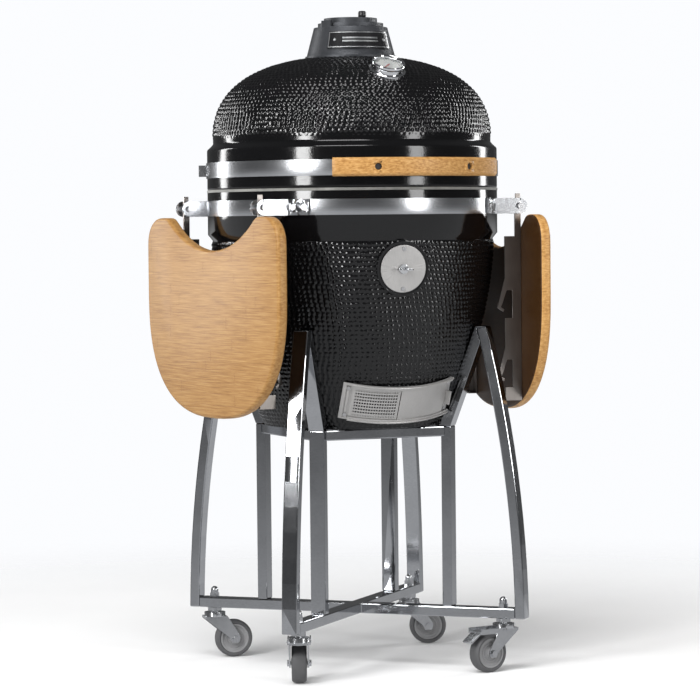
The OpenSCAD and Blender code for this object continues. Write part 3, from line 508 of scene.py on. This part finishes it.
# ---------------------------------------------------------------- small parts
def build_thermometer():
    """Rounded bezel, the collar on the dome, and a plain scale without numbers."""
    dial = BODY_TURN @ Matrix.Translation((0, -crown(DIAL_Z), DIAL_Z)) @ Matrix.Rotation(DIAL_LEAN, 4, "X")
    r, top = 0.031, 0.018
    ring = [(r - 0.0034, top - 0.0012), (r - 0.0026, top + 0.0012), (r - 0.0012, top + 0.0022),
            (r + 0.0004, top + 0.0018), (r + 0.0012, top + 0.0002), (r + 0.0012, top - 0.0040),
            (r + 0.0002, top - 0.0055), (r + 0.0002, top - 0.0018)]
    verts, faces = spun(ring, 96, dial)
    piece("thermometer_bezel", verts, faces, SLOTS["chrome"], "lid", "chrome")
    skirt = [(r + 0.0002, -0.006), (r + 0.0040, -0.006), (r + 0.0040, 0.0035), (r + 0.0022, 0.0050),
             (r + 0.0002, 0.0050)]
    verts, faces = spun(skirt, 96, dial)
    piece("thermometer_collar", verts, faces, SLOTS["chrome"], "lid", "chrome")
    marks, big, sweep = 25, 4, math.radians(270)
    parts = []
    for i in range(marks):
        turn = Matrix.Rotation(sweep * (i / (marks - 1) - 0.5), 4, "Z")
        long, wide = (0.0046, 0.00055) if i % big == 0 else (0.0026, 0.0003)
        parts.append(box((-wide, 0.0255 - long, 0.01105), (wide, 0.0255, 0.01135), dial @ turn))
    verts, faces = joined(*parts, spun(disc_outline(0.0265, 0.0112, 0.00022, 6), 72, dial))
    piece("dial_marks", verts, faces, INK, "lid", "dial", smooth=False)


def build_badge():
    """Plain silver trim on the black badge: a border, two bars and a rivet at each end."""
    slope = math.atan(CHIMNEY_LEAN / CHIMNEY_RISE)
    foot_z = CROWN_TOP + 0.017
    foot_r = FOOT_R - 0.017 * math.tan(slope) + 0.0004
    thick, tall, half = 0.003, 0.034, math.radians(46)
    out = Vector((math.cos(slope), math.sin(slope)))
    up = Vector((-math.sin(slope), math.cos(slope)))

    def at(angle, t, lift):
        p = Vector((foot_r, foot_z)) + (thick + lift) * out + t * up
        angle += BADGE_TURN
        return Vector((p.x * math.sin(angle), -p.x * math.cos(angle), p.y))

    def patch(a0, a1, t0, t1, proud=0.0007, steps=24):
        verts, faces = [], []
        for j in range(steps + 1):
            a = a0 + (a1 - a0) * j / steps
            verts += [at(a, t0, -0.0006), at(a, t0, proud), at(a, t1, proud), at(a, t1, -0.0006)]
        for j in range(steps):
            b, c = 4 * j, 4 * (j + 1)
            faces += [(b + i, c + i, c + (i + 1) % 4, b + (i + 1) % 4) for i in range(4)]
        return verts, faces + [(0, 1, 2, 3), tuple(range(4 * steps, 4 * steps + 4))[::-1]]

    line, inset = 0.0017, 0.0014
    side = line / foot_r
    a, t = half - inset / foot_r, tall - inset
    parts = [patch(-a, a, inset, inset + line), patch(-a, a, t - line, t),
             patch(-a, -a + side, inset + line, t - line, steps=1),
             patch(a - side, a, inset + line, t - line, steps=1)]
    parts += [patch(-0.44, 0.44, 0.0125, 0.0155), patch(-0.44, 0.44, 0.0190, 0.0220)]
    for end in (-1, 1):
        middle = at(end * 0.63, tall / 2, 0.0)
        away = (at(end * 0.63, tall / 2, 0.001) - middle).normalized()
        turn = Matrix.Translation(middle) @ away.to_track_quat("Z", "Y").to_matrix().to_4x4()
        parts.append(spun([(0.0001, -0.0006), (0.0030, -0.0006), (0.0030, 0.0004), (0.0021, 0.0014),
                           (0.0001, 0.0018)], 24, turn))
    piece("badge_trim", *joined(*parts), SILVER, "lid", "badge")


def build_knob():
    """The turned knob of the chimney disc, waisted under its grip."""
    profile = [(0.0001, 0.0), (0.0060, 0.0), (0.0060, 0.0015), (0.0045, 0.0030), (0.0042, 0.0100), (0.0060, 0.0120),
               (0.0078, 0.0150), (0.0080, 0.0190), (0.0076, 0.0235), (0.0058, 0.0254), (0.0001, 0.0260)]
    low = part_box("disc_knob")[0].z
    verts, faces = spun(profile, 40, Matrix.Translation((KNOB_AT, 0, low)))
    piece("damper_knob", verts, faces, SLOTS["black_knob"], "damper", "black_knob", replaces=["disc_knob"])


def build_springs():
    """The two wound springs on the hinge pin."""
    radius, wire, turns, length = 0.008, 0.0014, 11, 0.0290
    parts = []
    for side in (-1, 1):
        path = []
        for i in range(turns * 20 + 1):
            t = i / (turns * 20)
            a = 2 * math.pi * turns * t
            path.append((side * 0.020 + (t - 0.5) * length, HINGE_Y + radius * math.cos(a),
                         HINGE_Z + radius * math.sin(a)))
        parts.append(tube(path, wire))
    piece("hinge_coils", *joined(*parts), SLOTS["dark_steel"], "root", "dark_steel", replaces=["hinge_springs"])


def build_draft_edges():
    """Rolled beads along the two long edges of the draft door's frame."""
    lip, half = 0.2218, 0.0375
    parts = []
    for edge in (-1, 1):
        parts.append(spun(disc_outline(lip + 0.0004, edge * (half - 0.0012), 0.0021), 60, DRAFT,
                          math.radians(-90 - 25.3), math.radians(59.2)))
    piece("draft_beads", *joined(*parts), SLOTS["satin_steel"], "root", "satin_steel")


def build_wheels():
    """A wheel centre with ribs and grooves on both sides for each caster."""
    grooved = [(0.00405, 0.0154), (0.0092, 0.0154), (0.0100, 0.0146), (0.0100, 0.0092), (0.0118, 0.0080),
               (0.0135, 0.0080), (0.0140, 0.0070), (0.0152, 0.0070), (0.0157, 0.0080), (0.0182, 0.0080),
               (0.0187, 0.0070), (0.0199, 0.0070), (0.0204, 0.0080), (0.0232, 0.0082), (0.0248, 0.0094),
               (0.0252, 0.0116), (0.0260, 0.0122), (0.0284, 0.0122), (0.0289, 0.0116)]
    outline = grooved + [(r, -h) for r, h in reversed(grooved)]
    for name, (corner, turn) in CORNERS.items():
        hub = (Matrix.Rotation(math.radians(corner), 4, "Z") @ Matrix.Translation((CASTER_AT, 0, 0))
               @ Matrix.Rotation(math.radians(turn - corner), 4, "Z") @ Matrix.Translation((TRAIL, 0, WHEEL_R))
               @ Matrix.Rotation(math.pi / 2, 4, "X"))
        verts, faces = spun(outline, 72, hub)
        piece("caster_hub_" + name, verts, faces, SLOTS["hub_plastic"], "wheel_" + name, "hub_plastic",
              replaces=["wheel_" + name])


# ---------------------------------------------------------------- CAD nodes
WELD = 0.00005
# Distance between a board's rim points, smoothing passes over its corners, radius and steps of its rounded edge
BOARD_STEP, BOARD_EASE, BOARD_ROUND, ROUND_STEPS = 0.0035, 8, 0.006, 5
# How squarely a board face must turn to the grill's body to get the near-black painted shade
PAINTED_SHADE_FROM = 0.7
BEVEL_STEPS, BEVEL_ANGLE = 3, math.radians(40)
# Widths of the eased edges of CAD nodes, in millimetres
BEVELS = {"outer_bars": 2.4, "cradle_bars": 2.4, "posts": 2.4, "ring_bars": 2.4, "base_bars": 2.4,
          "handle_bar": 1.5, "left_rails": 0.6, "right_rails": 0.6, "left_brackets": 0.8,
          "right_brackets": 0.8, "hinge_bracket": 0.8, "hinge_arms": 0.8, "brake_fl": 0.7, "brake_fr": 0.7,
          "port_knob": 0.8, "port_cover": 0.6, "chimney": 1.2, "chimney_disc": 1.2, "lower_band": 0.4,
          "upper_band": 0.4, "fork_fl": 0.6, "fork_fr": 0.6, "fork_bl": 0.6, "fork_br": 0.6, "bowl": 1.6,
          "draft_slider": 0.3, "draft_frame": 0.3, "tyre_fl": 0.6, "tyre_fr": 0.6, "tyre_bl": 0.6, "tyre_br": 0.6,
          "handle_standoffs": 0.6, "handle_screws": 0.5, "cooking_grate": 0.4, "fire_box": 2.0, "fire_ring": 2.0}


def outer_loop(node):
    """The flat face's outline of a plain slab, as points in order, with the way the face looks and the thickness."""
    mesh = bmesh.new()
    mesh.from_mesh(node.data)
    bmesh.ops.transform(mesh, matrix=node.matrix_world, verts=mesh.verts)
    bmesh.ops.remove_doubles(mesh, verts=mesh.verts, dist=WELD)
    way = max(mesh.faces, key=lambda f: f.calc_area()).normal.copy()
    front = {f for f in mesh.faces if f.normal.dot(way) > 0.999}
    after = {}
    for edge in mesh.edges:
        mine = [f for f in edge.link_faces if f in front]
        if len(mine) == 1:
            loop = next(k for k in mine[0].loops if k.edge == edge)
            after[loop.vert] = loop.link_loop_next.vert
    points = [next(iter(after))]
    while after[points[-1]] != points[0]:
        points.append(after[points[-1]])
    found = [p.co.copy() for p in points]
    depths = [v.co.dot(way) for v in mesh.verts]
    mesh.free()
    return found, way, max(depths) - min(depths)


def build_boards():
    """Each shelf board with its corners eased and both faces rounded over at the edge."""
    for side in ("left", "right"):
        points, way, thick = outer_loop(NODES[side + "_board"])
        points = np.array([tuple(p) for p in points + points[:1]])
        run = np.concatenate([[0], np.cumsum(np.linalg.norm(np.diff(points, axis=0), axis=1))])
        at = np.arange(0, run[-1], BOARD_STEP)
        rim = np.stack([np.interp(at, run, points[:, k]) for k in range(3)], axis=1)
        for _ in range(BOARD_EASE):
            rim = (np.roll(rim, 1, axis=0) + 2 * rim + np.roll(rim, -1, axis=0)) / 4
        ahead = np.roll(rim, -1, axis=0) - np.roll(rim, 1, axis=0)
        inward = np.cross(np.array(way), ahead)
        inward /= np.linalg.norm(inward, axis=1)[:, None]
        steps = [math.pi / 2 * k / ROUND_STEPS for k in range(ROUND_STEPS + 1)]
        shape = [(1 - math.sin(a), 1 - math.cos(a)) for a in reversed(steps)]
        rings = [(BOARD_ROUND * d, BOARD_ROUND * i) for d, i in shape]
        rings += [(thick - d, i) for d, i in reversed(rings)]
        verts = [Vector(p) for d, i in rings for p in rim + inward * i - np.array(way) * d]
        n = len(rim)
        faces = [(a * n + j, (a + 1) * n + j, (a + 1) * n + (j + 1) % n, a * n + (j + 1) % n)
                 for a in range(len(rings) - 1) for j in range(n)]
        faces += [tuple(range(n)), tuple(range(len(verts) - n, len(verts)))[::-1]]
        made = piece(side + "_board_rounded", verts, faces, BOARDS[side], side + "_shelf", "bamboo",
                     replaces=[side + "_board"])
        # Faces turned towards the grill's body take the near-black painted shade
        made.data.materials.append(INNER_PAINTED_SHADE)
        for face in made.data.polygons:
            if face.normal.x * face.center.x < -PAINTED_SHADE_FROM * abs(face.center.x):
                face.material_index = 1


def dress_cad():
    """Gives each CAD node its material, and eases the edges of the ones in BEVELS."""
    for row in frame["record"]["subparts"]:
        name, mat = row["node"], SLOTS[row["material_slot"]]
        if name.endswith("_board"):
            mat = BOARDS[name.split("_")[0]]
        if name.endswith("_rails"):
            mat = RAIL
        node = NODES[name]
        node.data.materials.clear()
        node.data.materials.append(mat)
        if name in BEVELS:
            weld = node.modifiers.new("weld", "WELD")
            weld.merge_threshold = WELD
            bevel = node.modifiers.new("bevel", "BEVEL")
            bevel.width = BEVELS[name] * MM
            bevel.segments = BEVEL_STEPS
            bevel.limit_method = "ANGLE"
            bevel.angle_limit = BEVEL_ANGLE


# ---------------------------------------------------------------- stage
# Degrees to the left of the front, distance and height of the camera, and the point it aims at
CAMERA_SIDE, CAMERA_FAR, CAMERA_HIGH = 24.0, 5.946, 0.863
AIM_LEFT, AIM_HIGH, LENS, ROLL = 0.0075, 0.620, 155.5, -0.583


def around(degrees, distance, height):
    """A point at an angle from the camera's side, positive to the camera's right."""
    a = math.radians(-90 - CAMERA_SIDE + degrees)
    return Vector((distance * math.cos(a), distance * math.sin(a), height))


def build_camera():
    """The photograph's view, fitted on the rim, the bands, the stand and the casters."""
    data = bpy.data.cameras.new("camera")
    data.lens, data.sensor_width, data.clip_end = LENS, 36, 200
    camera = bpy.data.objects.new("camera", data)
    bpy.context.scene.collection.objects.link(camera)
    side = math.radians(CAMERA_SIDE)
    place = around(0, CAMERA_FAR, CAMERA_HIGH)
    aim = Vector((-math.cos(side), math.sin(side), 0)) * AIM_LEFT + Vector((0, 0, AIM_HIGH))
    look = (aim - place).to_track_quat("-Z", "Y").to_matrix().to_4x4()
    camera.matrix_world = Matrix.Translation(place) @ look @ Matrix.Rotation(math.radians(ROLL), 4, "Z")
    bpy.context.scene.camera = camera


def softbox(name, degrees, distance, height, wide, tall, power, tilt_to=0.7):
    """A soft rectangle of light that faces the grill's axis at the height tilt_to."""
    data = bpy.data.lights.new(name, "AREA")
    data.shape, data.size, data.size_y, data.energy = "RECTANGLE", wide, tall, power
    light = bpy.data.objects.new(name, data)
    bpy.context.scene.collection.objects.link(light)
    place = around(degrees, distance, height)
    look = (Vector((0, 0, tilt_to)) - place).to_track_quat("-Z", "Y").to_matrix().to_4x4()
    light.matrix_world = Matrix.Translation(place) @ look


# Name, degrees from the camera, distance, height, width, height of the panel, watts, and what it faces
SOFTBOXES = [("strip_left", -37, 3.2, 1.62, 0.62, 1.5, 62),
             ("strip_right", 50, 3.6, 1.55, 0.75, 1.9, 40),
             ("top", -10, 1.6, 3.4, 1.6, 1.2, 40, 0.9),
             ("rim_left", -118, 3.0, 1.4, 0.5, 2.0, 30),
             ("rim_right", 122, 3.0, 1.4, 0.5, 2.0, 30)]
FLOOR_R, FLOOR_SIDES, FADE_FROM, FADE_TO = 2.6, 64, 0.9, 0.97
# What the metal reflects of the room: dark at eye height and brighter towards the ground
ROOM = (("From Min", -0.17), ("From Max", -0.03), ("To Min", 0.62), ("To Max", 0.09))


def build_stage():
    """Softboxes, an even light from above, a pale floor that fades out, and a white background."""
    for row in SOFTBOXES:
        softbox(*row)
    data = bpy.data.lights.new("sky", "SUN")
    data.energy, data.angle = 2.1, math.radians(50)
    sky = bpy.data.objects.new("sky", data)
    bpy.context.scene.collection.objects.link(sky)
    sky.matrix_world = (around(-25, 0.9, 1.0)).to_track_quat("Z", "Y").to_matrix().to_4x4()
    sky.visible_glossy = False
    angles = [2 * math.pi * i / FLOOR_SIDES for i in range(FLOOR_SIDES)]
    verts = [(0, 0, 0)] + [(FLOOR_R * math.cos(a), FLOOR_R * math.sin(a), 0) for a in angles]
    mesh = bpy.data.meshes.new("floor")
    mesh.from_pydata(verts, [], [(0, i + 1, (i + 1) % FLOOR_SIDES + 1) for i in range(FLOOR_SIDES)])
    s = Shader("pale_floor", Roughness=0.6, Specular_IOR_Level=0.2)
    tone = s.ramp(s.noise(s.coords(), 1.5, 3), (0.3, (0.84, 0.84, 0.84)), (0.7, (0.88, 0.88, 0.88)))
    x, y, _ = s.split(s.coords())
    reach = s.math("SQRT", s.math("ADD", s.math("MULTIPLY", x, x), s.math("MULTIPLY", y, y)))
    fade = s.node("ShaderNodeMapRange", interpolation_type="SMOOTHSTEP")
    for name, value in (("Value", reach), ("From Min", FADE_FROM), ("From Max", FLOOR_R * FADE_TO),
                        ("To Min", 1.0), ("To Max", 0.0)):
        s.put(fade.inputs[name], value)
    mesh.materials.append(s.set(Base_Color=tone, Alpha=fade.outputs[0]))
    floor = bpy.data.objects.new("floor", mesh)
    bpy.context.scene.collection.objects.link(floor)
    floor.visible_glossy = False
    world = bpy.data.worlds.new("studio")
    world.use_nodes = True
    tree = world.node_tree
    background = tree.nodes["Background"]
    seen = tree.nodes.new("ShaderNodeLightPath")
    strength = tree.nodes.new("ShaderNodeMapRange")
    low = tree.nodes.new("ShaderNodeTexCoord")
    split = tree.nodes.new("ShaderNodeSeparateXYZ")
    room = tree.nodes.new("ShaderNodeMapRange")
    room.interpolation_type = "SMOOTHSTEP"
    for name, value in ROOM:
        room.inputs[name].default_value = value
    tree.links.new(low.outputs["Generated"], split.inputs[0])
    tree.links.new(split.outputs["Z"], room.inputs["Value"])
    tree.links.new(room.outputs[0], strength.inputs["To Min"])
    strength.inputs["To Max"].default_value = 1.0
    tree.links.new(seen.outputs["Is Camera Ray"], strength.inputs["Value"])
    tree.links.new(strength.outputs[0], background.inputs["Strength"])
    background.inputs["Color"].default_value = (0.97, 0.98, 1.0, 1)
    bpy.context.scene.world = world
    bpy.context.scene.view_settings.view_transform = "Standard"


dress_cad()
build_boards()
build_dome()
build_bowl_skin()
build_thermometer()
build_badge()
build_knob()
build_springs()
build_draft_edges()
build_wheels()
build_camera()
build_stage()
